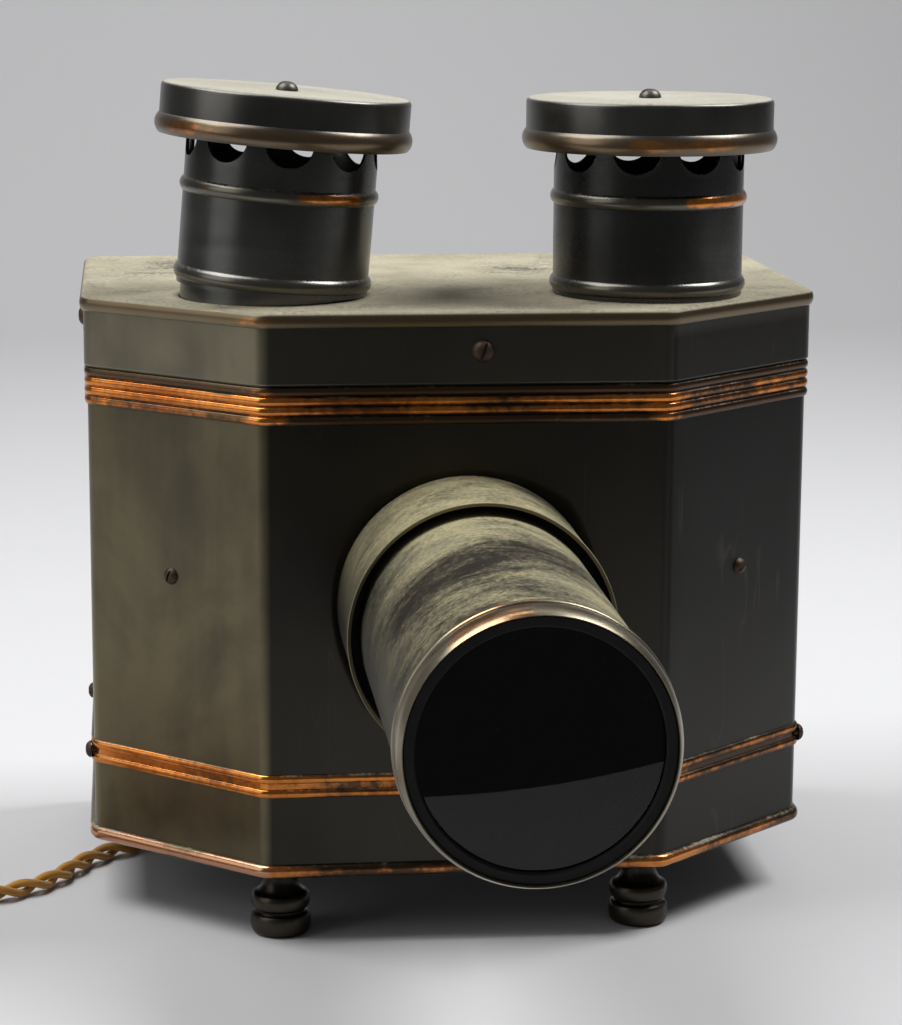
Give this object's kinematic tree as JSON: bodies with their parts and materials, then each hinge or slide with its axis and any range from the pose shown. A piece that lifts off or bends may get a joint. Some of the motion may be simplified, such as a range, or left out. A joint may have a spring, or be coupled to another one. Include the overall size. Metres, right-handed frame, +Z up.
{
  "type": "magic lantern",
  "caption": "Postcard magic lantern: sheet-metal lamp house with a sliding lens tube in front, capped chimneys on the lid, a hinged card door behind and a twisted cloth flex.",
  "frame": {"origin": "floor point under the middle of the lantern, feet at z = 0, front face of the lamp house at y = 0", "axes": "+Z up, -Y out of the lens, +X to the right seen from the front"},
  "size_m": [0.4851, 0.38, 0.299],
  "materials": {
    "shell": "oxidised copper plate on tinplate",
    "tube": "dusty oxidised copper plate",
    "bezel": "worn bright ring",
    "blackened": "matt black inside",
    "lens_glass": "clear, dark inside",
    "felt": "black felt",
    "screw_steel": "tarnished steel",
    "foot_brass": "dark turned brass",
    "mirror_metal": "polished reflector",
    "porcelain": "white lamp socket",
    "bulb_glass": "clear glass",
    "bright_brass": "plain brass",
    "hinge_metal": "dull brass",
    "bushing_black": "black",
    "flex": "golden brown twisted cloth flex",
    "tape": "cotton tape",
    "plug_brown": "brown moulded plug"
  },
  "bodies": {
    "housing": {"body_shell": "shell", "base_pan": "shell", "lid": "shell", "lens_collar": "tube", "collar_sleeve": "felt", "lid_screws": "screw_steel", "base_screws": "screw_steel", "reflector_screws": "screw_steel", "foot_screws": "screw_steel", "front_left_foot": "foot_brass", "front_right_foot": "foot_brass", "rear_left_foot": "foot_brass", "rear_right_foot": "foot_brass", "left_reflector": "mirror_metal", "right_reflector": "mirror_metal", "left_lamp_socket": "porcelain", "right_lamp_socket": "porcelain", "left_bulb": "bulb_glass", "right_bulb": "bulb_glass", "left_bulb_cap": "bright_brass", "right_bulb_cap": "bright_brass", "plug_pins": "bright_brass", "hinge_fixed_leaf": "hinge_metal", "hinge_pin": "hinge_metal", "hinge_fixed_rivets": "hinge_metal", "door_catch": "hinge_metal", "catch_rivets": "hinge_metal", "cord_bushing": "bushing_black", "cord": "flex", "cord_coil": "flex", "cord_tail": "flex", "lamp_leads": "flex", "cord_tie": "tape", "plug_body": "plug_brown"},
    "lens": {"lens_tube": "tube", "lens_bezel": "bezel", "front_ring": "blackened", "front_lens": "lens_glass", "lens_spacer": "blackened", "rear_lens": "lens_glass", "rear_ring": "blackened"},
    "door": {"card_door": "shell", "card_rails": "shell", "door_knob": "bright_brass", "hinge_door_leaf": "hinge_metal", "hinge_door_rivets": "hinge_metal"},
    "left_flue_stack": {"left_chimney": "shell", "left_cap": "shell", "left_cap_bridge": "shell", "left_cap_screw": "screw_steel"},
    "right_flue_stack": {"right_chimney": "shell", "right_cap": "shell", "right_cap_bridge": "shell", "right_cap_screw": "screw_steel"}
  },
  "joints": [
    {"name": "lens_focus", "type": "slide", "parent": "housing", "child": "lens", "axis": [0, -1, 0], "range_m": [-0.1, 0.028]},
    {"name": "card_door_hinge", "type": "hinge", "parent": "housing", "child": "door", "pos_m": [0.084, 0.1827, 0.1215], "axis": [0, 0, -1], "range_deg": [0, 150]},
    {"name": "left_chimney_lift", "type": "slide", "parent": "housing", "child": "left_flue_stack", "axis": [0.0837, 0, 0.9965], "range_m": [0, 0.06]},
    {"name": "right_chimney_lift", "type": "slide", "parent": "housing", "child": "right_flue_stack", "axis": [0, 0, 1], "range_m": [0, 0.06]}
  ]
}
